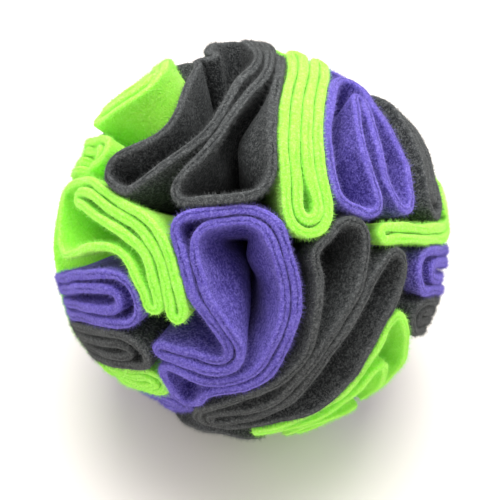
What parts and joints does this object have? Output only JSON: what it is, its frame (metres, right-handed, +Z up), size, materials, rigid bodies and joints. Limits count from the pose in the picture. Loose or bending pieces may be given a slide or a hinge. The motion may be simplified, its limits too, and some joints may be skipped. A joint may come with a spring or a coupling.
{
  "type": "dog snuffle ball",
  "caption": "Fabric snuffle ball of folded fleece circles drawn together at the middle, whose layers form pockets for hiding dry dog treats.",
  "frame": {"origin": "centre of the ball's bounding box at its base, in the plane of the small flat spot that it rests on", "axes": "+Z up, -Z out of the flat spot; a viewer stands on the -Y side and looks down at the ball, +X to their right"},
  "size_m": [0.1398, 0.14, 0.1389],
  "materials": {
    "lime_fleece": "matt napped fleece, bright lime green",
    "charcoal_fleece": "matt napped fleece, charcoal grey",
    "purple_fleece": "matt napped fleece, bluish purple"
  },
  "bodies": {
    "root": {"charcoal_circle_1": "charcoal_fleece", "charcoal_circle_2": "charcoal_fleece", "charcoal_circle_3": "charcoal_fleece", "charcoal_circle_4": "charcoal_fleece", "charcoal_circle_5": "charcoal_fleece", "charcoal_circle_6": "charcoal_fleece", "charcoal_circle_7": "charcoal_fleece", "charcoal_circle_8": "charcoal_fleece", "charcoal_circle_9": "charcoal_fleece", "charcoal_circle_10": "charcoal_fleece", "charcoal_circle_11": "charcoal_fleece", "lime_circle_1": "lime_fleece", "lime_circle_2": "lime_fleece", "lime_circle_3": "lime_fleece", "lime_circle_4": "lime_fleece", "lime_circle_5": "lime_fleece", "lime_circle_6": "lime_fleece", "lime_circle_7": "lime_fleece", "lime_circle_8": "lime_fleece", "lime_circle_9": "lime_fleece", "lime_circle_10": "lime_fleece", "lime_circle_11": "lime_fleece", "purple_circle_1": "purple_fleece", "purple_circle_2": "purple_fleece", "purple_circle_3": "purple_fleece", "purple_circle_4": "purple_fleece", "purple_circle_5": "purple_fleece", "purple_circle_6": "purple_fleece", "purple_circle_7": "purple_fleece", "purple_circle_8": "purple_fleece", "purple_circle_9": "purple_fleece", "purple_circle_10": "purple_fleece", "purple_circle_11": "purple_fleece"}
  },
  "joints": []
}
